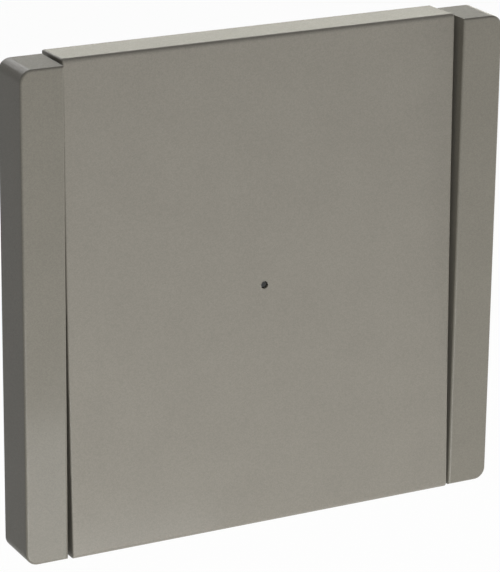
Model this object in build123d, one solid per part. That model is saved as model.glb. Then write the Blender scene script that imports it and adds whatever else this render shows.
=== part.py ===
"""A flush wall switch with one large rocker between two side strips.

The frame shows as two upright strips. A full-height rocker fills the space between them
and has a small light lens at its centre. Behind them a steel support ring carries the
switch insert, which sits inside the wall. The rocker is modelled with its top pressed in.

Axes: +X to the right, +Z up, +Y into the wall. The wall plane is y = 0, and the origin is
the centre of the four wall screws. All sizes are in millimetres.
"""

from build123d import *
import math
import os

# Frame
frame_width = 85.0
frame_height = 81.0
frame_depth = 8.5
frame_wall = 1.6
frame_corner_radius = 2.0
frame_edge_radius = 0.4
strip_width = 7.25
strip_rib_thickness = 1.2
strip_rib_pitch = 20.0
web_thickness = 1.5
web_end_gap = 1.2
web_opening = 47.0
screw_access_radius = 4.2

# Support ring
ring_size = 71.0
ring_thickness = 1.5
ring_corner_radius = 4.0
ring_overlap = 2.5
ring_opening_radius = 8.0
wall_screw_circle = 60.0
wall_screw_hole_radius = 2.1
peg_spacing = 58.0
peg_radius = 1.5
peg_end_gap = 0.1

# Clips that hold the frame on the ring
clip_sheet = 0.4
clip_width = 6.0
clip_spacing = 24.0
clip_base_length = 2.9
clip_lip_length = 1.2
clip_gap = 0.15

# Rocker cover
rocker_gap = 0.6
rocker_overhang = 0.3
rocker_depth = 7.7
rocker_wall = 1.6
rocker_dish = 0.28
rocker_end_radius = 0.7
rocker_side_radius = 0.28
rocker_skirt_depth = 4.5
rocker_face_setback = 0.8
rocker_rib_thickness = 1.2
rocker_rib_height = 1.3
rocker_rib_spacing = 50.0
rocker_rest_tilt = 1.7
face_to_pivot = 6.9

# Light lens at the centre of the rocker
lens_hole_radius = 0.65
lens_recess = 0.3
lens_collar_radius = 1.3
lens_collar_depth = 1.8
lens_front_wall = 1.3
lens_edge_radius = 0.15
lens_boss_wall = 0.9
lens_boss_depth = 1.4

# Cradle that carries the rocker cover
cradle_side_wall = 2.3
cradle_height = 32.0
cradle_thickness = 1.6
cradle_standoff = 1.7
cradle_window_width = 9.0
cradle_window_height = 10.0
cradle_peg_spacing_x = 26.0
cradle_peg_spacing_z = 26.0
cradle_peg_radius = 1.5
cradle_peg_proud = 0.8
ear_thickness = 2.2
ear_half_height = 2.4

# Pivot of the rocker
pivot_pin_radius = 1.2
post_thickness = 2.5
post_edge_margin = 0.6
post_half_height = 2.8
post_top_wall = 0.75
post_side_gap = 0.3

# Snap mechanism
plunger_offset = 8.0
stem_radius = 2.4
stem_bore_radius = 1.8
stem_floor = 0.8
stem_window_gap = 0.9
plunger_radius = 1.7
plunger_grip = 1.5
plunger_body_length = 3.1
plunger_tip_radius = 1.1
plunger_tip_length = 0.65
spring_radius = 1.35
spring_wire_radius = 0.2
spring_turns = 6
lever_ratio = 3.5
lever_axis_gap = 2.6
lever_width = 5.6
lever_length = 20.0
lever_thickness = 1.2
lever_pin_radius = 0.8
lever_pin_setback = 0.6
lever_side_gap = 0.4
lever_clearance = 0.25
contact_spacing = 17.0
contact_radius = 1.4
contact_tip_height = 1.0
contact_gap = 0.1

# Insert housing
housing_size = 41.0
housing_depth = 22.0
housing_wall = 1.6
housing_corner_radius = 4.0
housing_floor_thickness = 1.2
terminal_depth = 7.0
screw_post_radius = 2.3
cover_flange_thickness = 1.0
ring_screw_inset = 3.3
ring_screw_radius = 1.0
ring_screw_length = 7.5
ring_screw_head_radius = 1.9
ring_screw_head_height = 0.8

# Rails and wire terminals
rail_thickness = 1.0
rail_end_gap = 0.8
ear_sheet = 1.2
common_rail_half_height = 3.2
terminal_width = 10.0
terminal_edge_margin = 4.7
common_rail_height = 2.2
common_terminal_margin = 8.9
wire_hole_radius = 1.4
wire_spacing = 5.6
leaf_thickness = 0.4
leaf_width = 9.0
leaf_leg_drop = 6.4
leaf_bend_drop = 3.7
leaf_bend_radius = 1.0
leaf_tip_depth = 3.2

# Rear cap and release buttons
cap_thickness = 1.6
cap_rim_depth = 1.5
button_width = 2.4
button_height = 1.4
button_drop = 4.7
button_proud = 1.0
button_collar = 0.5
button_collar_thickness = 0.8
button_end_room = 0.4
button_travel = 1.2

# Signal lamp
lamp_board_width = 8.0
lamp_board_height = 6.0
lamp_board_thickness = 0.8
lamp_radius = 1.5
lamp_body_length = 1.5

# Clearances between pieces
running_clearance = 0.05
sliding_clearance = 0.15
opening_clearance = 0.3
seat_clearance = 0.1

# Places that follow from the sizes above
frame_back = -ring_thickness
frame_front = frame_back - frame_depth
web_front = frame_back - web_thickness
strip_inner = frame_width / 2 - strip_width
rocker_height = frame_height + 2 * rocker_overhang
web_half_height = rocker_height / 2 - rocker_wall - web_end_gap
rocker_width = 2 * (strip_inner - rocker_gap)
face_y = frame_front + rocker_face_setback
pivot_y = face_y + face_to_pivot
inner_face_y = face_y + rocker_dish + rocker_wall
cradle_front = inner_face_y + cradle_standoff
cradle_back = cradle_front + cradle_thickness
cover_front = -ring_thickness
cover_back = cover_flange_thickness
ring_opening = housing_size - 2 * ring_overlap
post_outer = ring_opening / 2 - post_edge_margin
post_inner = post_outer - post_thickness
pivot_ear_centre = post_inner - post_side_gap - ear_thickness / 2
cradle_width = 2 * (post_outer + post_side_gap + cradle_side_wall)
ring_screw_spacing = housing_size - 2 * ring_screw_inset
post_top = pivot_y - pivot_pin_radius - running_clearance - post_top_wall
pivot_pin_inner = pivot_ear_centre - ear_thickness / 2
stem_bore_start = cradle_back + stem_floor
floor_front = housing_depth - terminal_depth
floor_back = floor_front + housing_floor_thickness
rail_front = floor_front - rail_thickness
rail_end = housing_depth - rail_end_gap
lever_axis_depth = rail_front - lever_axis_gap
lever_front = lever_axis_depth - lever_pin_setback - lever_thickness
lever_back = lever_front + lever_thickness
lever_tilt = rocker_rest_tilt * lever_ratio
plunger_tip_y = lever_front - lever_clearance
plunger_start = plunger_tip_y - plunger_tip_radius - plunger_tip_length - plunger_body_length
stem_end = plunger_start + plunger_grip
cap_back = housing_depth + cap_thickness
lamp_board_front = cover_front - lamp_board_thickness
housing_inner = housing_size - 2 * housing_wall
outer_rail_height = housing_inner / 2 - terminal_edge_margin
common_terminal_x = common_terminal_margin - housing_inner / 2
ear_pocket_back = pivot_y + ear_half_height + opening_clearance


def block(x0, x1, y0, y1, z0, z1):
    """A box between two opposite corners."""
    centre = Pos((x0 + x1) / 2, (y0 + y1) / 2, (z0 + z1) / 2)
    return centre * Box(x1 - x0, y1 - y0, z1 - z0)


def rod_y(radius, y0, y1, x=0.0, z=0.0):
    """A round bar along Y."""
    return Pos(x, (y0 + y1) / 2, z) * Rot(90, 0, 0) * Cylinder(radius, y1 - y0)


def rod_x(radius, x0, x1, y=0.0, z=0.0):
    """A round bar along X."""
    return Pos((x0 + x1) / 2, y, z) * Rot(0, 90, 0) * Cylinder(radius, x1 - x0)


def plate(width, height, y0, y1, radius):
    """An upright plate with round corners, centred on the Y axis."""
    outline = Plane.XZ * RectangleRounded(width, height, radius)
    return Pos(0, y1, 0) * extrude(outline, y1 - y0)


def four_places(spacing_x, spacing_z):
    """The four corners of an upright rectangle centred on the Y axis."""
    return [(sx * spacing_x / 2, sz * spacing_z / 2) for sx in (-1, 1) for sz in (-1, 1)]


def circle_places(diameter):
    """Right, top, left and bottom on a circle centred on the Y axis."""
    radius = diameter / 2
    return [(radius, 0.0), (0.0, radius), (-radius, 0.0), (0.0, -radius)]


def tilted(shape, axis_y, angle):
    """The shape turned about an axis along X through y = axis_y, z = 0."""
    return Pos(0, axis_y, 0) * Rot(angle, 0, 0) * Pos(0, -axis_y, 0) * shape


def with_rocker(shape):
    """A piece of the rocker, turned so that the top is pressed in."""
    return tilted(shape, pivot_y, -rocker_rest_tilt)


def with_lever(shape):
    """A piece of the contact lever, turned so that its lower end is back."""
    return tilted(shape, lever_axis_depth, lever_tilt)


def make_strips():
    """The two hollow side strips, open at the back."""
    outline = plate(frame_width, frame_height, frame_front, frame_back, frame_corner_radius)
    half = frame_height / 2
    gap = block(-strip_inner, strip_inner, frame_front - 1, frame_back + 1, -half - 1, half + 1)
    strips = outline - gap
    front_edges = strips.edges().filter_by(lambda e: abs(e.center().Y - frame_front) < 0.01)
    strips = fillet(front_edges, frame_edge_radius)
    channel_inner = strip_inner + frame_wall
    channel_outer = frame_width / 2 - frame_wall
    channel_front = frame_front + frame_wall
    channel_half = half - frame_wall
    for side in (-1, 1):
        x0, x1 = sorted((side * channel_inner, side * channel_outer))
        strips -= block(x0, x1, channel_front, frame_back + 1, -channel_half, channel_half)
        for step in (-1, 0, 1):
            z = step * strip_rib_pitch
            half_rib = strip_rib_thickness / 2
            strips += block(x0, x1, channel_front, frame_back, z - half_rib, z + half_rib)
    return strips


def make_frame():
    """The frame: two strips joined by a thin web behind the rocker."""
    reach = strip_inner + frame_wall
    web = block(-reach, reach, web_front, frame_back, -web_half_height, web_half_height)
    web -= plate(web_opening, web_opening, web_front - 1, frame_back + 1, ring_corner_radius)
    for x, z in circle_places(wall_screw_circle):
        web -= rod_y(screw_access_radius, web_front - 1, frame_back + 1, x, z)
    frame = make_strips() + web
    for x, z in four_places(peg_spacing, peg_spacing):
        frame += rod_y(peg_radius, frame_back - web_thickness / 2, -peg_end_gap, x, z)
    return frame


def make_support_ring():
    """The flat steel ring that is screwed over the wall box."""
    ring = plate(ring_size, ring_size, -ring_thickness, 0, ring_corner_radius)
    ring -= plate(ring_opening, ring_opening, -ring_thickness - 1, 1, ring_opening_radius)
    for x, z in circle_places(wall_screw_circle):
        ring -= rod_y(wall_screw_hole_radius, -ring_thickness - 1, 1, x, z)
    for x, z in four_places(peg_spacing, peg_spacing):
        ring -= rod_y(peg_radius + seat_clearance, -ring_thickness - 1, 1, x, z)
    for x, z in four_places(ring_screw_spacing, ring_screw_spacing):
        ring -= rod_y(ring_screw_radius + running_clearance, -ring_thickness - 1, 1, x, z)
    return ring


def make_frame_clips():
    """Four bent clips on the ring, each with a lip over the edge of the web."""
    upright_outer = web_opening / 2 - clip_gap
    upright_inner = upright_outer - clip_sheet
    lip_back = web_front - clip_gap
    lip_front = lip_back - clip_sheet
    base_inner = upright_outer - clip_base_length
    lip_outer = web_opening / 2 + clip_lip_length
    clips = []
    for side in (-1, 1):
        for row in (-1, 1):
            z0 = row * clip_spacing / 2 - clip_width / 2
            z1 = z0 + clip_width
            clip = block(base_inner, upright_outer, frame_back - clip_sheet, frame_back, z0, z1)
            clip += block(upright_inner, upright_outer, lip_front, frame_back, z0, z1)
            clip += block(upright_inner, lip_outer, lip_front, lip_back, z0, z1)
            clips.append(clip if side > 0 else mirror(clip, Plane.YZ))
    return Compound(children=clips)


def make_ring_screws():
    """Four small screws that hold the insert behind the ring."""
    screws = []
    for x, z in four_places(ring_screw_spacing, ring_screw_spacing):
        head_front = -ring_thickness - ring_screw_head_height
        screw = rod_y(ring_screw_head_radius, head_front, -ring_thickness, x, z)
        screw += rod_y(ring_screw_radius, -ring_thickness, ring_screw_length - ring_thickness, x, z)
        slot_half = ring_screw_head_radius / 6
        slot_back = head_front + ring_screw_head_height / 2
        reach = ring_screw_head_radius + 1
        screw -= block(x - reach, x + reach, head_front - 1, slot_back, z - slot_half, z + slot_half)
        screws.append(screw)
    return Compound(children=screws)


def rocker_section():
    """Side view of the rocker: a dished face with round ends and a flat back."""
    half = rocker_height / 2
    back = face_y + rocker_depth
    corner = rocker_end_radius
    shift = corner * (1 - math.sqrt(0.5))
    top_turn = ThreePointArc((face_y, half - corner), (face_y + shift, half - shift), (face_y + corner, half))
    top = Line((face_y + corner, half), (back, half))
    rear = Line((back, half), (back, -half))
    bottom = Line((back, -half), (face_y + corner, -half))
    low_turn = ThreePointArc((face_y + corner, -half), (face_y + shift, shift - half), (face_y, corner - half))
    face = ThreePointArc((face_y, corner - half), (face_y + rocker_dish, 0), (face_y, half - corner))
    return make_face([top_turn, top, rear, bottom, low_turn, face])


def make_rocker_cover():
    """The rocker's outer shell with its lens hole, ribs and pegs."""
    half_width = rocker_width / 2
    half_height = rocker_height / 2
    back = face_y + rocker_depth
    shell = extrude(Plane.YZ * rocker_section(), half_width, both=True)
    ends = shell.edges().filter_by(lambda e: abs(abs(e.center().X) - half_width) < 0.01)
    shell = fillet(ends.filter_by(lambda e: e.center().Y < back - 0.01), rocker_side_radius)
    inner_x = half_width - rocker_wall
    inner_z = half_height - rocker_wall
    shell -= block(-inner_x, inner_x, inner_face_y, back + 1, -inner_z, inner_z)
    skirt_back = face_y + rocker_skirt_depth
    shell -= block(-half_width - 1, half_width + 1, skirt_back, back + 1, -inner_z, inner_z)
    rib_half = rocker_rib_thickness / 2
    for side in (-1, 1):
        z = side * rocker_rib_spacing / 2
        rib_back = inner_face_y + rocker_rib_height
        shell += block(-inner_x, inner_x, inner_face_y, rib_back, z - rib_half, z + rib_half)
    for x, z in four_places(cradle_peg_spacing_x, cradle_peg_spacing_z):
        shell += rod_y(cradle_peg_radius, inner_face_y, cradle_back + cradle_peg_proud, x, z)
        shell += rod_y(2 * cradle_peg_radius, inner_face_y, cradle_front, x, z)
    bore_radius = lens_collar_radius + running_clearance
    bore_start = face_y + rocker_dish + lens_front_wall
    boss_back = inner_face_y + lens_boss_depth
    shell += rod_y(bore_radius + lens_boss_wall, inner_face_y, boss_back)
    shell -= rod_y(bore_radius, bore_start, boss_back + 1)
    shell -= rod_y(lens_hole_radius, face_y - 1, bore_start)
    return with_rocker(shell)


def make_light_lens():
    """The clear light guide that ends just below the rocker's face."""
    front = face_y + rocker_dish + lens_recess
    collar_front = face_y + rocker_dish + lens_front_wall
    lens = rod_y(lens_hole_radius - running_clearance, front, collar_front)
    lens += rod_y(lens_collar_radius, collar_front, collar_front + lens_collar_depth)
    rim = lens.edges().filter_by(lambda e: abs(e.center().Y - front) < 0.01)
    return with_rocker(fillet(rim, lens_edge_radius))


def make_cradle():
    """The carrier under the rocker cover, with pivot ears and a plunger stem."""
    cradle = plate(cradle_width, cradle_height, cradle_front, cradle_back, pivot_pin_radius)
    half_window = cradle_window_width / 2
    half_window_z = cradle_window_height / 2
    cradle -= block(-half_window, half_window, cradle_front - 1, cradle_back + 1, -half_window_z, half_window_z)
    for x, z in four_places(cradle_peg_spacing_x, cradle_peg_spacing_z):
        cradle -= rod_y(cradle_peg_radius + running_clearance, cradle_front - 1, cradle_back + 1, x, z)
    post_gap = post_side_gap
    reach_z = post_half_height + post_gap
    for side in (-1, 1):
        x0, x1 = sorted((side * (post_inner - post_gap), side * (post_outer + post_gap)))
        cradle -= block(x0, x1, cradle_front - 1, cradle_back + 1, -reach_z, reach_z)
        ear_x = side * pivot_ear_centre
        half_ear = ear_thickness / 2
        ear = block(ear_x - half_ear, ear_x + half_ear, cradle_back, pivot_y, -ear_half_height, ear_half_height)
        ear += rod_x(ear_half_height, ear_x - half_ear, ear_x + half_ear, pivot_y)
        cradle += ear
        cradle -= rod_x(pivot_pin_radius, ear_x - half_ear, ear_x + half_ear, pivot_y)
    cradle += rod_y(stem_radius, cradle_back, stem_end, plunger_offset)
    cradle -= rod_y(stem_bore_radius, stem_bore_start, stem_end + 1, plunger_offset)
    return with_rocker(cradle)


def make_pivot_pins():
    """Two short pins, one on each side, on which the cradle turns."""
    pins = []
    for side in (-1, 1):
        x0, x1 = sorted((side * pivot_pin_inner, side * post_outer))
        pins.append(with_rocker(rod_x(pivot_pin_radius, x0, x1, pivot_y)))
    return Compound(children=pins)


def make_toggle_spring():
    """The coil spring inside the stem."""
    start = stem_bore_start + spring_wire_radius + running_clearance
    length = plunger_start - spring_wire_radius - running_clearance - start
    path = Helix(length / spring_turns, length, spring_radius)
    wire_section = Plane(path @ 0, z_dir=path % 0) * Circle(spring_wire_radius)
    coil = sweep(wire_section, path, is_frenet=True)
    return with_rocker(Pos(plunger_offset, start, 0) * Rot(-90, 0, 0) * coil)


def make_plunger():
    """The round-nosed plunger that the spring presses towards the lever."""
    body_end = plunger_start + plunger_body_length
    tip_centre = plunger_tip_y - plunger_tip_radius
    plunger = rod_y(plunger_radius, plunger_start, body_end, plunger_offset)
    plunger += rod_y(plunger_tip_radius, body_end, tip_centre, plunger_offset)
    plunger += Pos(plunger_offset, tip_centre, 0) * Sphere(plunger_tip_radius)
    return with_rocker(plunger)


def lever_ear_places():
    """The X limits of the two ears beside the contact lever."""
    inner = lever_width / 2 + lever_side_gap
    left = plunger_offset - inner
    right = plunger_offset + inner
    return [(left - ear_sheet, left), (right, right + ear_sheet)]


def make_contact_lever():
    """The see-saw that swaps the circuit, with its cross pin."""
    half = lever_length / 2
    x0 = plunger_offset - lever_width / 2
    x1 = plunger_offset + lever_width / 2
    lever = block(x0, x1, lever_front, lever_back, -half, half)
    (pin_start, _), (_, pin_end) = lever_ear_places()
    lever += rod_x(lever_pin_radius, pin_start, pin_end, lever_axis_depth)
    return with_lever(lever)


def make_moving_contact(side):
    """A contact rivet on the lever, above (side 1) or below (side -1) its axis."""
    tip = lever_back + contact_tip_height
    z = side * contact_spacing / 2
    return with_lever(rod_y(contact_radius, lever_back, tip, plunger_offset, z))


def fixed_contact_front():
    """The depth of the fixed contacts, just behind the moving one that touches."""
    angle = math.radians(lever_tilt)
    arm = contact_spacing / 2 + contact_radius
    face = lever_back + contact_tip_height - lever_axis_depth
    return lever_axis_depth + face * math.cos(angle) + arm * math.sin(angle) + contact_gap


def make_fixed_contact(side):
    """A contact rivet on the upper (side 1) or lower (side -1) rail."""
    z = side * contact_spacing / 2
    return rod_y(contact_radius, fixed_contact_front(), rail_front, plunger_offset, z)


def make_throw_rail(side):
    """The upper (side 1) or lower (side -1) rail, from contact to terminal."""
    half = terminal_width / 2
    x0 = plunger_offset - half
    x1 = plunger_offset + half
    low = contact_spacing / 2 - contact_radius - seat_clearance
    high = outer_rail_height + rail_thickness
    rail = block(x0, x1, rail_front, floor_front, low, high)
    rail += block(x0, x1, rail_front, rail_end, outer_rail_height, high)
    return rail if side > 0 else mirror(rail, Plane.XY)


def make_common_rail():
    """The common rail: a base bar, two ears for the lever's pin and a terminal."""
    half = terminal_width / 2
    ears = lever_ear_places()
    x0 = common_terminal_x - half
    x1 = ears[1][1]
    reach = common_rail_half_height
    rail = block(x0, x1, rail_front, floor_front, -reach, reach)
    ear_reach = 2 * lever_pin_radius
    for ear_start, ear_end in ears:
        rail += block(ear_start, ear_end, lever_axis_depth, rail_front, -ear_reach, ear_reach)
        rail += rod_x(ear_reach, ear_start, ear_end, lever_axis_depth)
        rail -= rod_x(lever_pin_radius + running_clearance, ear_start, ear_end, lever_axis_depth)
    high = common_rail_height + rail_thickness
    rail += block(x0, common_terminal_x + half, rail_front, rail_end, common_rail_height, high)
    return rail


def terminal_places():
    """Name, X, rail height and side of the three wire terminals."""
    return [
        ("upper", plunger_offset, outer_rail_height, 1),
        ("lower", plunger_offset, outer_rail_height, -1),
        ("common", common_terminal_x, common_rail_height, 1),
    ]


def make_terminal_spring(x, rail_height, side):
    """The bent leaf that presses a wire against its rail."""
    front = floor_back + leaf_thickness / 2 + seat_clearance
    leg = rail_height - leaf_leg_drop
    bend = rail_height - leaf_bend_drop
    tip = rail_height - leaf_thickness / 2 - seat_clearance
    points = [(rail_end, leg), (front, leg), (front, bend), (front + leaf_tip_depth, tip)]
    line = FilletPolyline(*points, radius=leaf_bend_radius)
    leaf = extrude(Plane.YZ * trace(line, leaf_thickness), leaf_width / 2, both=True)
    leaf = Pos(x, 0, 0) * leaf
    return leaf if side > 0 else mirror(leaf, Plane.XY)


def make_housing():
    """The insert's box with the floor that carries the rails."""
    housing = plate(housing_size, housing_size, 0, housing_depth, housing_corner_radius)
    inner_radius = housing_corner_radius - housing_wall
    housing -= plate(housing_inner, housing_inner, -1, housing_depth + 1, inner_radius)
    housing += plate(housing_inner, housing_inner, floor_front, floor_back, inner_radius)
    for x, z in four_places(ring_screw_spacing, ring_screw_spacing):
        housing += rod_y(screw_post_radius, cover_back, floor_front, x, z)
        housing -= rod_y(ring_screw_radius, cover_back, ring_screw_length, x, z)
    gap = sliding_clearance
    half = terminal_width / 2 + gap
    for _, x, height, side in terminal_places():
        z0, z1 = sorted((side * (height - gap), side * (height + rail_thickness + gap)))
        housing -= block(x - half, x + half, floor_front - 1, floor_back + 1, z0, z1)
    return housing


def make_insert_cover():
    """The insert's front cover with the posts for the rocker's pins."""
    flange = housing_inner - 2 * seat_clearance
    flange_radius = housing_corner_radius - housing_wall
    raised = ring_opening - 2 * opening_clearance
    cover = plate(flange, flange, 0, cover_back, flange_radius)
    cover += plate(raised, raised, cover_front, 0, ring_opening_radius - opening_clearance)
    reach = stem_radius + stem_window_gap
    x0 = plunger_offset - reach
    x1 = plunger_offset + reach
    cover -= block(x0, x1, cover_front - 1, cover_back + 1, -reach, reach)
    for x, z in four_places(ring_screw_spacing, ring_screw_spacing):
        cover -= rod_y(ring_screw_radius + running_clearance, -1, cover_back + 1, x, z)
    for side in (-1, 1):
        x0, x1 = sorted((side * post_inner, side * post_outer))
        cover += block(x0, x1, post_top, cover_front, -post_half_height, post_half_height)
        cover -= rod_x(pivot_pin_radius + running_clearance, x0, x1, pivot_y)
        x0, x1 = sorted((side * (pivot_pin_inner - opening_clearance), side * post_inner))
        reach_z = ear_half_height + opening_clearance
        cover -= block(x0, x1, cover_front - 1, ear_pocket_back, -reach_z, reach_z)
    return cover


def make_rear_cap():
    """The rear cap with two round wire entries for each terminal."""
    cap = plate(housing_size, housing_size, housing_depth, cap_back, housing_corner_radius)
    rim_size = housing_inner - 2 * seat_clearance
    rim_radius = housing_corner_radius - housing_wall
    rim_front = housing_depth - cap_rim_depth
    inner_size = rim_size - 2 * housing_wall
    cap += plate(rim_size, rim_size, rim_front, housing_depth, rim_radius)
    cap -= plate(inner_size, inner_size, rim_front - 1, housing_depth, rim_radius / 2)
    slot_x = button_width / 2 + sliding_clearance
    slot_z = button_height / 2 + sliding_clearance
    for _, x, height, side in terminal_places():
        wire_z = side * (height - wire_hole_radius)
        for step in (-1, 1):
            cap -= rod_y(wire_hole_radius, housing_depth - 1, cap_back + 1, x + step * wire_spacing / 2, wire_z)
        button_z = side * (height - button_drop)
        cap -= block(x - slot_x, x + slot_x, housing_depth - 1, cap_back + 1, button_z - slot_z, button_z + slot_z)
    return cap


def make_release_button(x, rail_height, side):
    """A push piece in the rear cap that frees a wire."""
    z = side * (rail_height - button_drop)
    half_x = button_width / 2
    half_z = button_height / 2
    start = floor_back + leaf_thickness + button_end_room + button_travel
    collar_back = housing_depth - seat_clearance
    collar_front = collar_back - button_collar_thickness
    button = block(x - half_x, x + half_x, start, cap_back + button_proud, z - half_z, z + half_z)
    wide_x = half_x + button_collar
    wide_z = half_z + button_collar
    button += block(x - wide_x, x + wide_x, collar_front, collar_back, z - wide_z, z + wide_z)
    return button


def make_lamp_board():
    """The small board under the lamp, on the insert's front cover."""
    half_x = lamp_board_width / 2
    half_z = lamp_board_height / 2
    return block(-half_x, half_x, lamp_board_front, cover_front, -half_z, half_z)


def make_pilot_lamp():
    """The round-nosed lamp behind the lens."""
    nose = lamp_board_front - lamp_body_length
    return rod_y(lamp_radius, nose, lamp_board_front) + Pos(0, nose, 0) * Sphere(lamp_radius)


def make_all():
    """Every piece by its name."""
    pieces = {
        "frame": make_frame(),
        "support_ring": make_support_ring(),
        "frame_clips": make_frame_clips(),
        "ring_screws": make_ring_screws(),
        "insert_housing": make_housing(),
        "insert_cover": make_insert_cover(),
        "rear_cap": make_rear_cap(),
        "common_rail": make_common_rail(),
        "upper_rail": make_throw_rail(1),
        "lower_rail": make_throw_rail(-1),
        "upper_fixed_contact": make_fixed_contact(1),
        "lower_fixed_contact": make_fixed_contact(-1),
        "lamp_board": make_lamp_board(),
        "pilot_lamp": make_pilot_lamp(),
        "rocker_cover": make_rocker_cover(),
        "light_lens": make_light_lens(),
        "rocker_cradle": make_cradle(),
        "pivot_pins": make_pivot_pins(),
        "toggle_spring": make_toggle_spring(),
        "plunger": make_plunger(),
        "contact_lever": make_contact_lever(),
        "upper_moving_contact": make_moving_contact(1),
        "lower_moving_contact": make_moving_contact(-1),
    }
    for name, x, height, side in terminal_places():
        pieces[name + "_terminal_spring"] = make_terminal_spring(x, height, side)
        pieces[name + "_release_button"] = make_release_button(x, height, side)
    return pieces


os.makedirs("parts", exist_ok=True)
for piece_name, piece in make_all().items():
    export_step(piece, "parts/" + piece_name + ".step")
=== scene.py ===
"""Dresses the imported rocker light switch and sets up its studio.

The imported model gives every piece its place. This script gives each one its finish, adds
the small forms that the solids leave out, and sets the camera, the lamps and the backdrop.
Everything is in metres, with +X to the right, +Z up and +Y into the wall.
"""

import logging
import math
from collections.abc import Callable
from dataclasses import dataclass, field
from enum import Enum

import bpy
from mathutils import Matrix, Vector


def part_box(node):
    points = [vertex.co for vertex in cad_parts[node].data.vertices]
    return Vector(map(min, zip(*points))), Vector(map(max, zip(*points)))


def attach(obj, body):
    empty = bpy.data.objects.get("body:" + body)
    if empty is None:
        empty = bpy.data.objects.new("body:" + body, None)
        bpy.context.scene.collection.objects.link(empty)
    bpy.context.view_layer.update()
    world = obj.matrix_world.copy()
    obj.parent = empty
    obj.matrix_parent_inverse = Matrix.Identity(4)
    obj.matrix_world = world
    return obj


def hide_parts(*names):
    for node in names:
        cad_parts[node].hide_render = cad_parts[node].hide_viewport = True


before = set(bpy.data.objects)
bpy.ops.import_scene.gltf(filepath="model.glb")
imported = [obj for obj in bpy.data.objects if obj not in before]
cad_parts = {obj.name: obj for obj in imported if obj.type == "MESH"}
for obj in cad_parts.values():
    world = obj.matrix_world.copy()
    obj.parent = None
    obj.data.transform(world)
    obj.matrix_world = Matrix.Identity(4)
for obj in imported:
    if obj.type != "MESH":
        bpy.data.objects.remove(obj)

log = logging.getLogger("rocker_switch")

Socket = bpy.types.NodeSocket
Material = bpy.types.Material
Piece = bpy.types.Object
Profile = tuple[tuple[float, float], ...]

MM = 0.001
ROOT_DEPTH = 0.1 * MM
SMOOTH_ANGLE = 35.0
NEARLY_ALL = 0.9
WIRE_SIDES = {"upper": 1.0, "lower": -1.0, "common": 1.0}
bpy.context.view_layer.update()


class Body(Enum):
    """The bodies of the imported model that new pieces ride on."""

    INSERT = "frame_and_insert"
    ROCKER = "rocker"


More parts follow.
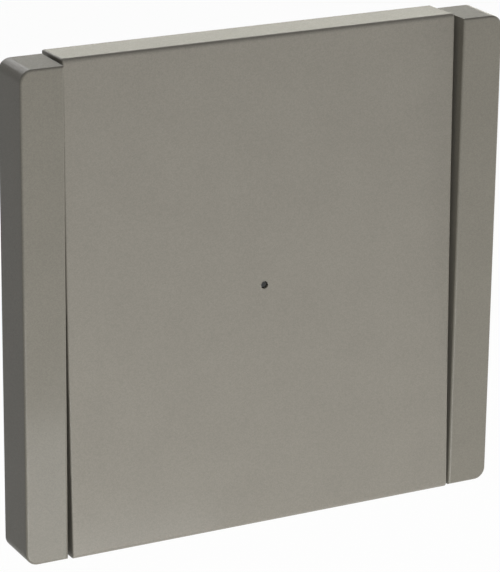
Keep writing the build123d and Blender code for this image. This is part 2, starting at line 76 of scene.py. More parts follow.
class Shading:
    """The node tree of one material, with short ways to add its usual nodes."""

    def __init__(self, name: str) -> None:
        """Starts a material that holds one Principled shader.

        Args:
            name: The material's name.
        """
        self.material = bpy.data.materials.new(name)
        self.material.use_nodes = True
        self.nodes = self.material.node_tree.nodes
        self.links = self.material.node_tree.links
        self.shader = self.nodes["Principled BSDF"]
        self.place = self.nodes.new("ShaderNodeTexCoord").outputs["Object"]

    def set(self, **values: float) -> None:
        """Sets constant sockets of the shader.

        Args:
            values: Socket names, with _ for a space, and their values.
        """
        for name, value in values.items():
            self.shader.inputs[name.replace("_", " ")].default_value = value

    def stretched(self, scale: tuple[float, float, float]) -> Socket:
        """The object's coordinates scaled along each axis.

        Args:
            scale: The factor along X, Y and Z.

        Returns:
            The scaled coordinates.
        """
        mapping = self.nodes.new("ShaderNodeMapping")
        mapping.inputs["Scale"].default_value = scale
        self.links.new(self.place, mapping.inputs["Vector"])
        return mapping.outputs["Vector"]

    def noise(self, size: float, detail: float = 2.0, *, place: Socket | None = None) -> Socket:
        """Soft noise in the object's coordinates.

        Args:
            size: The width of one swell in metres.
            detail: How many finer layers are added.
            place: The coordinates, or None for the object's own.

        Returns:
            The noise between 0 and 1.
        """
        noise = self.nodes.new("ShaderNodeTexNoise")
        noise.inputs["Scale"].default_value = 1.0 / size
        noise.inputs["Detail"].default_value = detail
        self.links.new(place or self.place, noise.inputs["Vector"])
        return noise.outputs["Fac"]

    def flecks(self, size: float) -> Socket:
        """One random grey for each small cell.

        Args:
            size: The width of one cell in metres.

        Returns:
            The random value of each cell.
        """
        cells = self.nodes.new("ShaderNodeTexVoronoi")
        cells.inputs["Scale"].default_value = 1.0 / size
        self.links.new(self.place, cells.inputs["Vector"])
        split = self.nodes.new("ShaderNodeSeparateColor")
        self.links.new(cells.outputs["Color"], split.inputs["Color"])
        return split.outputs["Red"]

    def spread(self, value: Socket, low: float, high: float, start: float = 0.3, stop: float = 0.7) -> Socket:
        """A value mapped from one range to another.

        Args:
            value: The value to map.
            low: The result at start.
            high: The result at stop.
            start: The lower end of the value's range.
            stop: The upper end of the value's range.

        Returns:
            The mapped value.
        """
        mapped = self.nodes.new("ShaderNodeMapRange")
        mapped.inputs["From Min"].default_value = start
        mapped.inputs["From Max"].default_value = stop
        mapped.inputs["To Min"].default_value = low
        mapped.inputs["To Max"].default_value = high
        self.links.new(value, mapped.inputs["Value"])
        return mapped.outputs["Result"]

    def around_one(self, value: Socket, contrast: float) -> Socket:
        """Noise made into a factor that swings about 1.

        Args:
            value: The noise.
            contrast: How far the factor swings to each side.

        Returns:
            The factor.
        """
        return self.spread(value, 1 - contrast, 1 + contrast)

    def product(self, one: Socket, other: Socket) -> Socket:
        """Two values multiplied.

        Args:
            one: The first value.
            other: The second value.

        Returns:
            Their product.
        """
        multiply = self.nodes.new("ShaderNodeMath")
        multiply.operation = "MULTIPLY"
        self.links.new(one, multiply.inputs[0])
        self.links.new(other, multiply.inputs[1])
        return multiply.outputs["Value"]

    def paint(self, colour: tuple[float, float, float], strength: Socket) -> None:
        """Colours the shader with one colour made lighter and darker.

        Args:
            colour: The mean colour in linear values.
            strength: The factor on the colour at each place.
        """
        scale = self.nodes.new("ShaderNodeVectorMath")
        scale.operation = "SCALE"
        scale.inputs[0].default_value = colour
        self.links.new(strength, scale.inputs["Scale"])
        self.links.new(scale.outputs["Vector"], self.shader.inputs["Base Color"])

    def bump(self, height: Socket, depth: float, strength: float = 1.0) -> None:
        """Adds a bump to the shader, over any earlier one.

        Args:
            height: The height at each place, between 0 and 1.
            depth: The height of 1 in metres.
            strength: How much of the bump is used.
        """
        bump = self.nodes.new("ShaderNodeBump")
        bump.inputs["Distance"].default_value = depth
        bump.inputs["Strength"].default_value = strength
        self.links.new(height, bump.inputs["Height"])
        normal = self.shader.inputs["Normal"]
        if normal.is_linked:
            self.links.new(normal.links[0].from_socket, bump.inputs["Normal"])
        self.links.new(bump.outputs["Normal"], normal)

    def roughness(self, value: Socket) -> None:
        """Links the shader's roughness.

        Args:
            value: The roughness at each place.
        """
        self.links.new(value, self.shader.inputs["Roughness"])


@dataclass(frozen=True)
class SatinLacquer:
    """A warm grey lacquer with fine metallic flecks, sprayed on moulded plastic."""

    name: str
    colour: tuple[float, float, float] = (0.262, 0.246, 0.211)
    fleck_size: float = 0.16 * MM
    fleck_contrast: float = 0.07
    cloud_size: float = 9.0 * MM
    cloud_contrast: float = 0.02
    patch_share: float = 1.7
    roughness: float = 0.42
    roughness_swing: float = 0.05
    metallic: float = 0.03
    specular: float = 0.04
    coat: float = 0.19
    coat_roughness: float = 0.1
    peel_size: float = 0.45 * MM
    peel_depth: float = 0.004 * MM

    def build(self) -> Material:
        """Makes the material.

        Returns:
            The finished material.
        """
        shading = Shading(self.name)
        flecks = shading.flecks(self.fleck_size)
        fleck = shading.spread(flecks, 1 - self.fleck_contrast, 1 + self.fleck_contrast, 0, 1)
        cloud = shading.around_one(shading.noise(self.cloud_size), self.cloud_contrast)
        shading.paint(self.colour, shading.product(fleck, cloud))
        patches = shading.flecks(self.patch_share * self.fleck_size)
        low, high = self.roughness - self.roughness_swing, self.roughness + self.roughness_swing
        shading.roughness(shading.spread(patches, low, high, 0, 1))
        shading.bump(shading.noise(self.peel_size, detail=1.0), self.peel_depth)
        shading.set(Metallic=self.metallic, Specular_IOR_Level=self.specular)
        shading.set(Coat_Weight=self.coat, Coat_Roughness=self.coat_roughness)
        return shading.material


@dataclass(frozen=True)
class MouldedPlastic:
    """Plain moulded plastic with the fine grain of an eroded mould."""

    name: str
    colour: tuple[float, float, float]
    roughness: float = 0.5
    roughness_swing: float = 0.06
    grain_size: float = 0.22 * MM
    grain_depth: float = 0.006 * MM
    grain_contrast: float = 0.05
    cloud_size: float = 6.0 * MM
    cloud_contrast: float = 0.06
    wear_size: float = 24.0 * MM

    def build(self) -> Material:
        """Makes the material.

        Returns:
            The finished material.
        """
        shading = Shading(self.name)
        grain = shading.noise(self.grain_size, detail=3.0)
        cloud = shading.around_one(shading.noise(self.cloud_size, detail=3.0), self.cloud_contrast)
        shading.paint(self.colour, shading.product(cloud, shading.around_one(grain, self.grain_contrast)))
        wear = shading.noise(self.wear_size)
        low, high = self.roughness - self.roughness_swing, self.roughness + self.roughness_swing
        shading.roughness(shading.spread(wear, low, high))
        shading.bump(grain, self.grain_depth)
        return shading.material


@dataclass(frozen=True)
class RolledMetal:
    """Sheet or wire metal with fine rolling lines along one axis."""

    name: str
    colour: tuple[float, float, float]
    roughness: float = 0.32
    polish: float = 0.07
    dulling: float = 0.09
    line_width: float = 0.12 * MM
    line_stretch: float = 0.03
    line_depth: float = 0.002 * MM
    line_contrast: float = 0.06
    stain_size: float = 5.0 * MM
    stain_contrast: float = 0.04
    wear_size: float = 2.5 * MM
    along: tuple[float, float, float] = (1.0, 1.0, 0.0)

    def build(self) -> Material:
        """Makes the material.

        Returns:
            The finished material.
        """
        shading = Shading(self.name)
        scale = tuple(self.line_stretch if axis == 0 else 1.0 for axis in self.along)
        lines = shading.noise(self.line_width, place=shading.stretched(scale))
        stain = shading.around_one(shading.noise(self.stain_size, detail=4.0), self.stain_contrast)
        shading.paint(self.colour, shading.product(stain, shading.around_one(lines, self.line_contrast)))
        wear = shading.noise(self.wear_size, detail=3.0)
        shading.roughness(shading.spread(wear, self.roughness - self.polish, self.roughness + self.dulling))
        shading.bump(lines, self.line_depth)
        shading.set(Metallic=1.0)
        return shading.material


@dataclass(frozen=True)
class ClearPlastic:
    """Clear or smoky moulded plastic that lets light through."""

    name: str
    colour: tuple[float, float, float]
    roughness: float = 0.12
    transmission: float = 0.6
    refraction: float = 1.49
    swirl_size: float = 0.6 * MM
    swirl_contrast: float = 0.07
    scuffing: float = 1.6

    def build(self) -> Material:
        """Makes the material.

        Returns:
            The finished material.
        """
        shading = Shading(self.name)
        swirl = shading.noise(self.swirl_size)
        shading.paint(self.colour, shading.around_one(swirl, self.swirl_contrast))
        shading.roughness(shading.spread(swirl, self.roughness, self.scuffing * self.roughness))
        shading.set(Transmission_Weight=self.transmission, IOR=self.refraction)
        return shading.material


@dataclass
class Wardrobe:
    """Every finish of the switch, and the CAD pieces that wear it."""

    finishes: dict[str, Material] = field(default_factory=dict)

    def dress(self, finish: SatinLacquer | MouldedPlastic | RolledMetal | ClearPlastic, *names: str) -> None:
        """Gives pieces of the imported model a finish.

        Args:
            finish: The finish to build.
            names: The pieces that wear it.
        """
        material = finish.build()
        self.finishes[finish.name] = material
        for name in names:
            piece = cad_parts[name]
            for place in piece.material_slots:
                place.material = material
        log.info("%s on %s", finish.name, ", ".join(names) or "new pieces")

    def dress_all(self) -> None:
        """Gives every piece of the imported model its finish."""
        self.dress(SatinLacquer("frame_satin", (0.222, 0.209, 0.176)), "frame")
        self.dress(SatinLacquer("rocker_satin"), "rocker_cover")
        self.dress(RolledMetal("zinc_plating", (0.56, 0.57, 0.56)), "support_ring", "ring_screws")
        self.dress(RolledMetal("clip_spring_steel", (0.42, 0.42, 0.43), 0.26), "frame_clips")
        self.dress(MouldedPlastic("housing_white", (0.68, 0.68, 0.66)), "insert_housing")
        self.dress(MouldedPlastic("cover_grey", (0.10, 0.105, 0.115), 0.45), "insert_cover", "rear_cap")
        self.dress(MouldedPlastic("cradle_ivory", (0.66, 0.63, 0.56)), "rocker_cradle", "plunger")
        copper = ("common_rail", "upper_rail", "lower_rail", "contact_lever")
        self.dress(RolledMetal("bare_copper", (0.74, 0.38, 0.24)), *copper)
        contacts = [f"{row}_{kind}_contact" for row in ("upper", "lower") for kind in ("fixed", "moving")]
        self.dress(RolledMetal("contact_silver", (0.82, 0.81, 0.78), 0.22), *contacts)
        self.dress(RolledMetal("bright_steel", (0.55, 0.55, 0.56), 0.2), "pivot_pins", "toggle_spring")
        springs = [f"{place}_terminal_spring" for place in WIRE_SIDES]
        self.dress(RolledMetal("leaf_steel", (0.5, 0.5, 0.5), 0.24), *springs)
        buttons = [f"{place}_release_button" for place in WIRE_SIDES]
        self.dress(MouldedPlastic("button_orange", (0.62, 0.16, 0.03), 0.32), *buttons)
        self.dress(MouldedPlastic("board_green", (0.02, 0.11, 0.05), 0.3), "lamp_board")
        self.dress(MouldedPlastic("chip_black", (0.015, 0.015, 0.016), 0.35))
        self.dress(RolledMetal("solder_tin", (0.66, 0.66, 0.67), 0.3))
        self.dress(ClearPlastic("lamp_clear", (0.85, 0.86, 0.82)), "pilot_lamp")
        self.dress(ClearPlastic("lens_smoke", (0.012, 0.012, 0.011), 0.16, 0.2), "light_lens")


class Part(Enum):
    """The parts of a mesh that can be picked in edit mode."""

    EDGE = "EDGE"
    FACE = "FACE"


class Bench:
    """The modelling tools, which work on one piece at a time."""

    def clear(self) -> None:
        """Leaves edit mode and deselects everything."""
        if bpy.context.mode != "OBJECT":
            bpy.ops.object.mode_set(mode="OBJECT")
        bpy.ops.object.select_all(action="DESELECT")

    def block(self, name: str, low: Vector, high: Vector) -> Piece:
        """Adds a box between two corners.

        Args:
            name: The piece's name.
            low: The lowest corner.
            high: The highest corner.

        Returns:
            The box.
        """
        self.clear()
        bpy.ops.mesh.primitive_cube_add(size=1.0, location=(low + high) / 2, scale=high - low)
        piece = bpy.context.active_object
        piece.name = name
        bpy.ops.object.transform_apply(location=True, rotation=True, scale=True)
        return piece

    def turned(
        self, name: str, stations: list[tuple[float, float]], ring: bool = False, sides: int = 48
    ) -> Piece:
        """Draws a circle up along Z through a list of radii and heights.

        Args:
            name: The piece's name.
            stations: The radius and height of each circle.
            ring: Whether the last circle joins the first, round an open middle.
            sides: The number of sides of the circle.

        Returns:
            The turned piece, which stands on the origin.
        """
        self.clear()
        radius, height = stations[0]
        fill = "NOTHING" if ring else "NGON"
        spot = (0, 0, height)
        bpy.ops.mesh.primitive_circle_add(vertices=sides, radius=radius, fill_type=fill, location=spot)
        piece = bpy.context.active_object
        piece.name = name
        bpy.ops.object.transform_apply(location=True)
        bpy.ops.object.mode_set(mode="EDIT")
        bpy.ops.mesh.select_mode(type="EDGE" if ring else "FACE")
        bpy.ops.mesh.select_all(action="SELECT")
        for wide, high in stations[1:]:
            bpy.ops.mesh.extrude_region_move(TRANSFORM_OT_translate={"value": (0, 0, high - height)})
            growth = wide / radius
            bpy.ops.transform.resize(value=(growth, growth, 1), center_override=(0, 0, high))
            radius, height = wide, high
        if ring:
            bpy.ops.mesh.select_all(action="DESELECT")
            bpy.ops.mesh.select_non_manifold()
            bpy.ops.mesh.bridge_edge_loops()
        self.mend_normals()
        return piece

    def mend_normals(self) -> None:
        """Turns all faces of the piece in edit mode outwards and leaves edit mode."""
        bpy.ops.mesh.select_all(action="SELECT")
        bpy.ops.mesh.normals_make_consistent(inside=False)
        bpy.ops.object.mode_set(mode="OBJECT")

    def pick(self, piece: Piece, part: Part, test: Callable) -> None:
        """Opens a piece in edit mode with only some of its parts selected.

        Args:
            piece: The piece.
            part: The kind of part to select.
            test: Tells from a face, or from an edge's middle and direction, if it is wanted.
        """
        self.clear()
        piece.select_set(True)
        bpy.context.view_layer.objects.active = piece
        bpy.ops.object.mode_set(mode="EDIT")
        bpy.ops.mesh.select_mode(type=part.value)
        bpy.ops.mesh.select_all(action="DESELECT")
        bpy.ops.object.mode_set(mode="OBJECT")
        mesh = piece.data
        if part is Part.EDGE:
            for edge in mesh.edges:
                start, end = (mesh.vertices[index].co for index in edge.vertices)
                edge.select = test((start + end) / 2, (end - start).normalized())
        else:
            for face in mesh.polygons:
                face.select = test(face)
        bpy.ops.object.mode_set(mode="EDIT")

    def soften(self, piece: Piece, size: float, test: Callable, segments: int = 3) -> None:
        """Rounds some edges of a piece.

        Args:
            piece: The piece.
            size: The size of the rounding.
            test: Tells from an edge's middle and direction if it is rounded.
            segments: The number of faces across the rounding.
        """
        self.pick(piece, Part.EDGE, test)
        bpy.ops.mesh.bevel(offset=size, segments=segments, affect="EDGES")
        self.mend_normals()

    def pierce(self, piece: Piece, wall: float) -> None:
        """Opens a box through its front and back, which leaves a frame.

        Args:
            piece: The box.
            wall: The width of the frame.
        """
        self.pick(piece, Part.FACE, lambda face: abs(face.normal.y) > NEARLY_ALL)
        bpy.ops.mesh.inset(thickness=wall, depth=0, use_individual=True)
        bpy.ops.mesh.bridge_edge_loops()
        self.mend_normals()

    def place(self, piece: Piece, spot: Vector, turn: tuple[float, float, float] = (0, 0, 0)) -> None:
        """Turns and moves a piece, and keeps its place in its mesh.

        Args:
            piece: The piece.
            spot: Where its origin goes.
            turn: The turns about X, Y and Z in degrees.
        """
        self.clear()
        piece.select_set(True)
        bpy.context.view_layer.objects.active = piece
        piece.location = spot
        piece.rotation_euler = [math.radians(angle) for angle in turn]
        bpy.ops.object.transform_apply(location=True, rotation=True, scale=True)

    def copy(self, piece: Piece, step: Vector) -> Piece:
        """Copies a piece with its own mesh.

        Args:
            piece: The piece.
            step: How far the copy is from it.

        Returns:
            The copy.
        """
        self.clear()
        piece.select_set(True)
        bpy.context.view_layer.objects.active = piece
        bpy.ops.object.duplicate()
        twin = bpy.context.active_object
        self.place(twin, step)
        return twin

    def join(self, name: str, pieces: list[Piece]) -> Piece:
        """Joins pieces into one.

        Args:
            name: The name of the joined piece.
            pieces: The pieces.

        Returns:
            The joined piece.
        """
        self.clear()
        for piece in pieces:
            piece.select_set(True)
        bpy.context.view_layer.objects.active = pieces[0]
        bpy.ops.object.join()
        pieces[0].name = name
        return pieces[0]

    def row(self, name: str, piece: Piece, step: Vector, count: int) -> Piece:
        """Copies a piece at equal steps and joins all of them.

        Args:
            name: The name of the row.
            piece: The first piece of the row.
            step: How far each piece is from the one before.
            count: The number of pieces.

        Returns:
            The row.
        """
        return self.join(name, [piece] + [self.copy(piece, index * step) for index in range(1, count)])

    def carve(self, piece: Piece, cutter: Piece) -> None:
        """Cuts one piece out of another.

        Args:
            piece: The piece that is cut.
            cutter: The piece that cuts, which is used up.
        """
        self.clear()
        cut = piece.modifiers.new("cut", "BOOLEAN")
        cut.object = cutter
        cut.operation = "DIFFERENCE"
        cut.solver = "EXACT"
        piece.select_set(True)
        bpy.context.view_layer.objects.active = piece
        bpy.ops.object.modifier_apply(modifier="cut")
        bpy.data.objects.remove(cutter)

    def finish(self, piece: Piece, material: Material, body: Body, slot: str) -> None:
        """Shades a piece, dresses it and lets it ride on its body.

        Args:
            piece: The piece.
            material: Its finish.
            body: The body that carries it.
            slot: The record's material slot for it; this argument is not used.
        """
        self.clear()
        piece.select_set(True)
        bpy.context.view_layer.objects.active = piece
        bpy.ops.object.shade_smooth_by_angle(angle=math.radians(SMOOTH_ANGLE))
        piece.data.materials.clear()
        piece.data.materials.append(material)
        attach(piece, body.value)
        log.info("%s rides on %s", piece.name, body.value)


def along_y(_: Vector, direction: Vector) -> bool:
    """Tells whether an edge runs along Y."""
    return abs(direction.y) > NEARLY_ALL


@dataclass
class LensRim:
    """The small chamfered rim round the pinhole of the rocker."""

    hole_radius: float = 0.65 * MM
    width: float = 0.13 * MM
    proud: float = 0.03 * MM
    depth: float = 0.14 * MM
    profile: Profile = ((0.0, 0.3), (0.4, 1.0), (1.0, 0.0))
    face_above_lens: float = 0.3 * MM
    tilt: float = 1.7

    def build(self, bench: Bench, wardrobe: Wardrobe) -> None:
        """Models the rim on the rocker's face and dresses it.

        Args:
            bench: The modelling tools.
            wardrobe: The finishes.
        """
        near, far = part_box("light_lens")
        outward = Vector((0, -math.cos(math.radians(self.tilt)), math.sin(math.radians(self.tilt))))
        face = Vector(((near.x + far.x) / 2, near.y, (near.z + far.z) / 2)) + outward * self.face_above_lens
        stations = [(self.hole_radius, -self.depth)]
        stations += [(self.hole_radius + wide * self.width, high * self.proud) for wide, high in self.profile]
        stations += [(self.hole_radius + self.width, -self.depth)]
        rim = bench.turned("lens_rim", stations, ring=True)
        bench.place(rim, face, (90 - self.tilt, 0, 0))
        bench.finish(rim, wardrobe.finishes["rocker_satin"], Body.ROCKER, "rocker_lacquer")


@dataclass
class CapRelief:
    """What is moulded on the rear cap: funnels, frames round the terminals and a strip gauge."""

    funnel_lip: float = 0.35 * MM
    funnel_wall: float = 0.35 * MM
    funnel_height: float = 0.55 * MM
    funnel_profile: Profile = ((0.0, 0.9), (0.3, 1.0), (0.8, 1.0), (1.0, 0.8), (1.0, 0.0))
    wire_radius: float = 1.4 * MM
    wire_spacing: float = 5.6 * MM
    frame_size: tuple[float, float] = (12.4 * MM, 8.6 * MM)
    frame_wall: float = 0.6 * MM
    frame_height: float = 0.45 * MM
    frame_shift: float = 0.58
    edge_round: float = 0.9 * MM
    wire_drop: float = 3.3 * MM
    gauge_offset: float = 5.6 * MM
    gauge_overlap: float = 0.2 * MM
    gauge_length: float = 11.0 * MM
    bare_height: float = 0.35 * MM
    bare_radius: float = 0.6 * MM
    bare_round: float = 0.3 * MM
    jacket_length: float = 4.5 * MM
    jacket_height: float = 0.5 * MM
    jacket_radius: float = 1.2 * MM
    jacket_round: float = 0.4 * MM

    def centres(self) -> list[tuple[float, float]]:
        """The middle of each terminal's release button.

        Returns:
            The X and Z of each button, in the order of WIRE_SIDES.
        """
        middles = []
        for name in WIRE_SIDES:
            low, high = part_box(name + "_release_button")
            middles.append(((low.x + high.x) / 2, (low.z + high.z) / 2))
        return middles

    def build_funnels(self, bench: Bench, wardrobe: Wardrobe) -> None:
        """Models the flared collar round each wire entry.

        Args:
            bench: The modelling tools.
            wardrobe: The finishes.
        """
        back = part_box("rear_cap")[1].y
        lip = self.wire_radius + self.funnel_lip
        stations = [(self.wire_radius, 0.0)]
        stations += [
            (lip + wide * self.funnel_wall, high * self.funnel_height) for wide, high in self.funnel_profile
        ]
        for (name, side), (x, z) in zip(WIRE_SIDES.items(), self.centres()):
            left = bench.turned("funnel", stations, ring=True)
            spot = Vector((x - self.wire_spacing / 2, back, z + side * self.wire_drop))
            bench.place(left, spot, (-90, 0, 0))
            pair = bench.row(name + "_wire_funnels", left, Vector((self.wire_spacing, 0, 0)), 2)
            bench.finish(pair, wardrobe.finishes["cover_grey"], Body.INSERT, "cap_plastic")

    def build_frames(self, bench: Bench, wardrobe: Wardrobe) -> None:
        """Models the low raised frame round each terminal.

        Args:
            bench: The modelling tools.
            wardrobe: The finishes.
        """
        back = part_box("rear_cap")[1].y
        width, height = self.frame_size
        for (name, side), (x, z) in zip(WIRE_SIDES.items(), self.centres()):
            middle = z + side * self.wire_drop * self.frame_shift
            low = Vector((x - width / 2, back - ROOT_DEPTH, middle - height / 2))
            high = Vector((x + width / 2, back + self.frame_height, middle + height / 2))
            fence = bench.block(name + "_terminal_frame", low, high)
            bench.soften(fence, self.edge_round, along_y)
            bench.pierce(fence, self.frame_wall)
            bench.finish(fence, wardrobe.finishes["cover_grey"], Body.INSERT, "cap_plastic")

    def build_gauge(self, bench: Bench, wardrobe: Wardrobe) -> None:
        """Models the relief of a stripped wire, which shows how much of it to bare.

        Args:
            bench: The modelling tools.
            wardrobe: The finishes.
        """
        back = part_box("rear_cap")[1].y
        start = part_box("upper_release_button")[0].x - self.gauge_offset
        jacket = bench.block(
            "gauge_jacket",
            Vector((start, back - ROOT_DEPTH, -self.jacket_radius)),
            Vector((start + self.jacket_length, back + self.jacket_height, self.jacket_radius)),
        )
        bench.soften(jacket, self.jacket_round, lambda middle, _: middle.y > back)
        bare_start = start + self.jacket_length
        bare = bench.block(
            "gauge_bare",
            Vector((bare_start - self.gauge_overlap, back - ROOT_DEPTH, -self.bare_radius)),
            Vector((bare_start + self.gauge_length, back + self.bare_height, self.bare_radius)),
        )
        bench.soften(bare, self.bare_round, lambda middle, _: middle.y > back)
        gauge = bench.join("strip_gauge", [jacket, bare])
        bench.finish(gauge, wardrobe.finishes["cover_grey"], Body.INSERT, "cap_plastic")

    def build(self, bench: Bench, wardrobe: Wardrobe) -> None:
        """Models everything on the rear cap.

        Args:
            bench: The modelling tools.
            wardrobe: The finishes.
        """
        self.build_funnels(bench, wardrobe)
        self.build_frames(bench, wardrobe)
        self.build_gauge(bench, wardrobe)


@dataclass
class HousingRelief:
    """The grip ribs on the sides of the housing and the hooks that hold the rear cap."""

    rib_count: int = 6
    rib_width: float = 1.0 * MM
    rib_proud: float = 0.5 * MM
    rib_round: float = 0.3 * MM
    rib_pitch: float = 4.4 * MM
    rib_start: float = 4.0 * MM
    rib_end: float = 17.5 * MM
    hook_width: float = 6.0 * MM
    hook_proud: float = 0.9 * MM
    hook_length: float = 3.2 * MM
    hook_spacing: float = 18.0 * MM
    hook_slope: float = 0.8

    def build_ribs(self, bench: Bench, wardrobe: Wardrobe) -> None:
        """Models one row of ribs on each side of the housing.

        Args:
            bench: The modelling tools.
            wardrobe: The finishes.
        """
        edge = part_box("insert_housing")[1].x
        first = -(self.rib_count - 1) / 2 * self.rib_pitch
        for name, side in (("left", -1), ("right", 1)):
            near, far = sorted((side * (edge - ROOT_DEPTH), side * (edge + self.rib_proud)))
            rib = bench.block(
                "rib",
                Vector((near, self.rib_start, first - self.rib_width / 2)),
                Vector((far, self.rib_end, first + self.rib_width / 2)),
            )
            crest = edge + NEARLY_ALL * self.rib_proud
            bench.soften(rib, self.rib_round, lambda middle, _: side * middle.x > crest)
            row = bench.row(name + "_grip_ribs", rib, Vector((0, 0, self.rib_pitch)), self.rib_count)
            bench.finish(row, wardrobe.finishes["housing_white"], Body.INSERT, "housing_plastic")

    def build_hooks(self, bench: Bench, wardrobe: Wardrobe) -> None:
        """Models two wedge hooks on the top and on the bottom of the housing.

        Args:
            bench: The modelling tools.
            wardrobe: The finishes.
        """
        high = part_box("insert_housing")[1]
        for name, side in (("upper", 1), ("lower", -1)):
            near, far = sorted((side * (high.z - ROOT_DEPTH), side * (high.z + self.hook_proud)))
            left = -self.hook_spacing / 2 - self.hook_width / 2
            hook = bench.block(
                "hook",
                Vector((left, high.y - self.hook_length, near)),
                Vector((left + self.hook_width, high.y, far)),
            )
            crest = high.z + NEARLY_ALL * self.hook_proud
            bench.soften(
                hook,
                self.hook_slope * self.hook_proud,
                lambda middle, _: side * middle.z > crest and middle.y > high.y - ROOT_DEPTH,
                segments=1,
            )
            pair = bench.row(name + "_cap_hooks", hook, Vector((self.hook_spacing, 0, 0)), 2)
            bench.finish(pair, wardrobe.finishes["housing_white"], Body.INSERT, "housing_plastic")

    def build(self, bench: Bench, wardrobe: Wardrobe) -> None:
        """Models the ribs and the hooks.

        Args:
            bench: The modelling tools.
            wardrobe: The finishes.
        """
        self.build_ribs(bench, wardrobe)
        self.build_hooks(bench, wardrobe)


@dataclass
class RingScrews:
    """The four screws that clamp the insert to the support ring."""

    head_radius: float = 1.9 * MM
    head_height: float = 0.8 * MM
    head_profile: Profile = ((0.72, 0.0), (0.92, 0.22), (1.0, 0.6), (1.0, 1.0))
    root_radius: float = 0.8 * MM
    crest_radius: float = 1.0 * MM
    thread_pitch: float = 0.5 * MM
    thread_start: float = 0.3
    thread_rise: float = 0.4
    tip_share: float = 0.5
    recess_arm: float = 1.0 * MM
    recess_width: float = 0.4 * MM
    recess_depth: float = 0.5 * MM

    def build(self, bench: Bench, wardrobe: Wardrobe) -> None:
        """Models one screw with its thread and cross recess, copies it and dresses the set.

        Args:
            bench: The modelling tools.
            wardrobe: The finishes.
        """
        near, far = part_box("ring_screws")
        length = far.y - near.y
        stations = [(wide * self.head_radius, high * self.head_height) for wide, high in self.head_profile]
        stations += [(self.root_radius, self.head_height)]
        turns = int((length - self.head_height) / self.thread_pitch) - 1
        for turn in range(turns):
            start = self.head_height + (turn + self.thread_start) * self.thread_pitch
            crest = start + self.thread_rise * self.thread_pitch
            stations += [(self.root_radius, start), (self.crest_radius, crest)]
        stations += [(self.root_radius, length - self.thread_pitch)]
        stations += [(self.tip_share * self.root_radius, length)]
        screw = bench.turned("ring_screw", stations, sides=32)
        arms = [
            bench.block("arm", Vector((-x, -y, -self.recess_depth)), Vector((x, y, self.recess_depth)))
            for x, y in ((self.recess_arm, self.recess_width / 2), (self.recess_width / 2, self.recess_arm))
        ]
        for arm in arms:
            bench.carve(screw, arm)
        inset = Vector((far.x - self.head_radius, 0, far.z - self.head_radius))
        bench.place(screw, Vector((-inset.x, near.y, -inset.z)), (-90, 0, 0))
        steps = [(2 * inset.x, 0), (0, 2 * inset.z), (2 * inset.x, 2 * inset.z)]
        screws = [screw] + [bench.copy(screw, Vector((x, 0, z))) for x, z in steps]
        whole = bench.join("threaded_ring_screws", screws)
        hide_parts("ring_screws")
        bench.finish(whole, wardrobe.finishes["zinc_plating"], Body.INSERT, "screw_steel")


@dataclass
class BoardParts:
    """The small electronic parts on the lamp board."""

    chip_size: tuple[float, float, float] = (0.8 * MM, 0.45 * MM, 1.6 * MM)
    cap_share: float = 0.22
    cap_round: float = 0.07 * MM
    core_half_width: float = 0.48
    core_depth: float = 0.92
    core_round: float = 0.04 * MM
    chip_offset: float = 2.9 * MM
    chip_height: float = 1.3 * MM
    pad_spacing: float = 1.5 * MM
    pad_radius: float = 0.45 * MM
    pad_height: float = 0.25 * MM
    pad_profile: Profile = ((1.0, 0.0), (0.95, 0.3), (0.6, 0.8), (0.2, 1.0))

    def build_chip(self, bench: Bench, wardrobe: Wardrobe, name: str, x: float, z: float) -> None:
        """Models one chip resistor with its two tinned ends.

        Args:
            bench: The modelling tools.
            wardrobe: The finishes.
            name: The chip's name.
            x: Its place along X.
            z: Its place along Z.
        """
        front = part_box("lamp_board")[0].y
        wide, deep, long = self.chip_size
        top = front - self.core_depth * deep
        core = bench.block(
            name,
            Vector((x - self.core_half_width * wide, top, z - (0.5 - self.cap_share) * long)),
            Vector((x + self.core_half_width * wide, front, z + (0.5 - self.cap_share) * long)),
        )
        rounded = front - NEARLY_ALL * self.core_depth * deep
        bench.soften(core, self.core_round, lambda middle, _: middle.y < rounded, segments=2)
        bench.finish(core, wardrobe.finishes["chip_black"], Body.INSERT, "board_green")
        ends = []
        for side in (-1, 1):
            inner, outer = sorted((side * (0.5 - self.cap_share) * long, side * 0.5 * long))
            end = bench.block(
                "end",
                Vector((x - wide / 2, front - deep, z + inner)),
                Vector((x + wide / 2, front, z + outer)),
            )
            bench.soften(end, self.cap_round, lambda middle, _: middle.y < front - deep / 2, segments=2)
            ends.append(end)
        tinned = bench.join(name + "_ends", ends)
        bench.finish(tinned, wardrobe.finishes["solder_tin"], Body.INSERT, "contact_silver")

    def build(self, bench: Bench, wardrobe: Wardrobe) -> None:
        """Models the chips and the solder pads of the board.

        Args:
            bench: The modelling tools.
            wardrobe: The finishes.
        """
        for name, side in (("series_resistor", 1), ("bleed_resistor", -1)):
            self.build_chip(bench, wardrobe, name, -self.chip_offset, side * self.chip_height)
        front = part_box("lamp_board")[0].y
        stations = [(wide * self.pad_radius, high * self.pad_height) for wide, high in self.pad_profile]
        pad = bench.turned("pad", stations, sides=24)
        bench.place(pad, Vector((self.chip_offset, front, -self.pad_spacing)), (90, 0, 0))
        row = bench.row("solder_pads", pad, Vector((0, 0, self.pad_spacing)), 3)
        bench.finish(row, wardrobe.finishes["solder_tin"], Body.INSERT, "contact_silver")


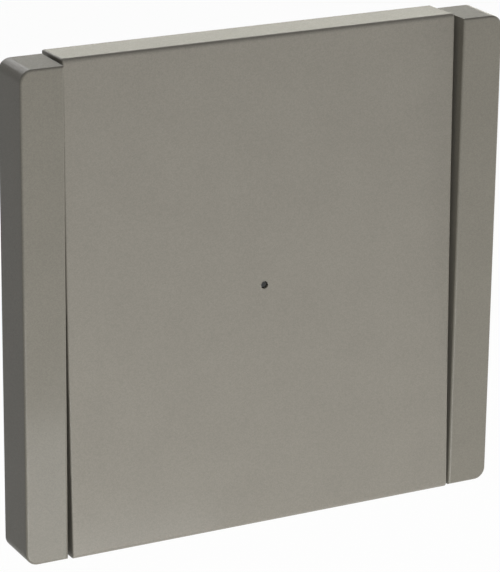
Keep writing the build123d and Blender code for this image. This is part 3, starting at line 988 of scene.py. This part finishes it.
@dataclass
class MouldMarks:
    """The round ejector marks left in the channels of the two strips."""

    radius: float = 1.3 * MM
    step: float = 0.12 * MM
    wall: float = 1.6 * MM
    strip_width: float = 7.25 * MM
    profile: Profile = ((0.75, 0.0), (0.8, 1.0), (0.92, 1.0), (1.0, 0.0))
    pitch: float = 20.0 * MM
    count: int = 4

    def build(self, bench: Bench, wardrobe: Wardrobe) -> None:
        """Models one row of marks in each strip.

        Args:
            bench: The modelling tools.
            wardrobe: The finishes.
        """
        low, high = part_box("frame")
        floor = low.y + self.wall
        lowest = -(self.count - 1) / 2 * self.pitch
        stations = [(wide * self.radius, rise * self.step) for wide, rise in self.profile]
        for name, x in (("left", low.x + self.strip_width / 2), ("right", high.x - self.strip_width / 2)):
            mark = bench.turned("mark", stations, ring=True, sides=32)
            bench.place(mark, Vector((x, floor, lowest)), (-90, 0, 0))
            row = bench.row(name + "_mould_marks", mark, Vector((0, 0, self.pitch)), self.count)
            bench.finish(row, wardrobe.finishes["frame_satin"], Body.INSERT, "frame_lacquer")


@dataclass
class Studio:
    """The camera at the photograph's viewing angle, the lamps and the backdrop."""

    azimuth: float = 27.69
    elevation: float = 18.80
    roll: float = 0.675
    distance: float = 487.0 * MM
    aim: tuple[float, float, float] = (-1.1 * MM, -6.0 * MM, -0.75 * MM)
    focal_length: float = 190.1
    nearest: float = 10.0 * MM
    floor_drop: float = 300.0 * MM
    floor_size: float = 6.0
    floor_whiteness: float = 0.97
    floor_grey: float = 0.8
    floor_roughness: float = 0.9
    ambient: float = 0.08

    def add_camera(self) -> None:
        """Adds the camera and makes it the scene's own."""
        turn, lift = math.radians(self.azimuth), math.radians(self.elevation)
        look = Vector((math.sin(turn) * math.cos(lift), math.cos(turn) * math.cos(lift), -math.sin(lift)))
        camera = bpy.data.objects.new("camera", bpy.data.cameras.new("camera"))
        camera.data.lens = self.focal_length
        camera.data.clip_start = self.nearest
        facing = look.to_track_quat("-Z", "Y").to_matrix() @ Matrix.Rotation(math.radians(self.roll), 3, "Z")
        camera.matrix_world = Matrix.Translation(Vector(self.aim) - look * self.distance) @ facing.to_4x4()
        bpy.context.scene.collection.objects.link(camera)
        bpy.context.scene.camera = camera

    def add_lamp(
        self,
        name: str,
        place: tuple[float, float, float],
        size: tuple[float, float],
        power: float,
        colour: tuple[float, float, float] = (1.0, 1.0, 1.0),
    ) -> None:
        """Adds a rectangular soft lamp that points at the switch.

        Args:
            name: The lamp's name.
            place: Where it hangs, in metres.
            size: Its width and height, in metres.
            power: Its power in watts.
            colour: The colour of its light.
        """
        light = bpy.data.lights.new(name, "AREA")
        light.shape = "RECTANGLE"
        light.size, light.size_y = size
        light.energy = power
        light.color = colour
        lamp = bpy.data.objects.new(name, light)
        lamp.location = place
        lamp.rotation_euler = (-Vector(place)).to_track_quat("-Z", "Y").to_euler()
        bpy.context.scene.collection.objects.link(lamp)

    def add_floor(self) -> None:
        """Adds a pale floor well below the switch."""
        bpy.ops.object.select_all(action="DESELECT")
        bpy.ops.mesh.primitive_plane_add(size=self.floor_size, location=(0, 0, -self.floor_drop))
        floor = bpy.context.active_object
        floor.name = "floor"
        bpy.ops.object.transform_apply(location=True)
        material = bpy.data.materials.new("pale_floor")
        material.use_nodes = True
        nodes, links = material.node_tree.nodes, material.node_tree.links
        shaded = nodes["Principled BSDF"]
        shaded.inputs["Base Color"].default_value = (self.floor_grey,) * 3 + (1,)
        shaded.inputs["Roughness"].default_value = self.floor_roughness
        share = nodes.new("ShaderNodeMath")
        share.operation = "MULTIPLY"
        share.inputs[1].default_value = self.floor_whiteness
        links.new(self.background_ray(nodes, links), share.inputs[0])
        mix = nodes.new("ShaderNodeMixShader")
        links.new(share.outputs["Value"], mix.inputs[0])
        links.new(shaded.outputs["BSDF"], mix.inputs[1])
        links.new(nodes.new("ShaderNodeEmission").outputs["Emission"], mix.inputs[2])
        links.new(mix.outputs["Shader"], nodes["Material Output"].inputs["Surface"])
        floor.data.materials.append(material)

    def background_ray(self, nodes: bpy.types.Nodes, links: bpy.types.NodeLinks) -> Socket:
        """Tells the rays that should meet a white background from those that bring light.

        Args:
            nodes: The nodes of the material or the world.
            links: The links of the material or the world.

        Returns:
            1 for what the camera sees, a gloss mirrors or a clear piece lets through, and else 0.
        """
        path = nodes.new("ShaderNodeLightPath")
        seen = path.outputs["Is Camera Ray"]
        for kind in ("Is Glossy Ray", "Is Transmission Ray"):
            either = nodes.new("ShaderNodeMath")
            either.operation = "MAXIMUM"
            links.new(seen, either.inputs[0])
            links.new(path.outputs[kind], either.inputs[1])
            seen = either.outputs["Value"]
        return seen

    def add_world(self) -> None:
        """Gives the camera a white background and the switch a soft grey room."""
        world = bpy.data.worlds.new("room")
        world.use_nodes = True
        nodes, links = world.node_tree.nodes, world.node_tree.links
        background = nodes["Background"]
        background.inputs["Color"].default_value = (1, 1, 1, 1)
        level = nodes.new("ShaderNodeMapRange")
        level.inputs["To Min"].default_value = self.ambient
        level.inputs["To Max"].default_value = 1.0
        links.new(self.background_ray(nodes, links), level.inputs["Value"])
        links.new(level.outputs["Result"], background.inputs["Strength"])
        bpy.context.scene.world = world

    def build(self) -> None:
        """Sets up the camera, the lamps, the floor and the world."""
        bpy.context.scene.view_settings.view_transform = "Standard"
        self.add_camera()
        self.add_floor()
        self.add_world()
        self.add_lamp("near_softbox", (-0.05, -0.30, -0.18), (0.16, 0.16), 0.69)
        self.add_lamp("low_strip_light", (0.07, -0.42, -0.24), (0.25, 0.10), 0.54)
        self.add_lamp("top_softbox", (-0.05, -0.40, 0.80), (0.50, 0.40), 1.5)
        self.add_lamp("rim_strip_light", (0.465, 0.885, 0.15), (0.90, 0.22), 1.75, (1.0, 0.98, 0.82))
        self.add_lamp("rear_softbox", (0.0, 0.85, 0.55), (0.60, 0.40), 2.3)
        self.add_lamp("right_softbox", (0.95, -0.15, 0.0), (0.40, 0.40), 3.5)
        log.info("studio ready")


def main() -> None:
    """Builds the switch and its studio in order."""
    logging.basicConfig(level=logging.INFO, format="%(message)s")
    wardrobe = Wardrobe()
    wardrobe.dress_all()
    bench = Bench()
    for detail in (LensRim(), CapRelief(), HousingRelief(), RingScrews(), BoardParts(), MouldMarks()):
        detail.build(bench, wardrobe)
        log.info("%s built", type(detail).__name__)
    Studio().build()


if __name__ == "__main__":
    main()
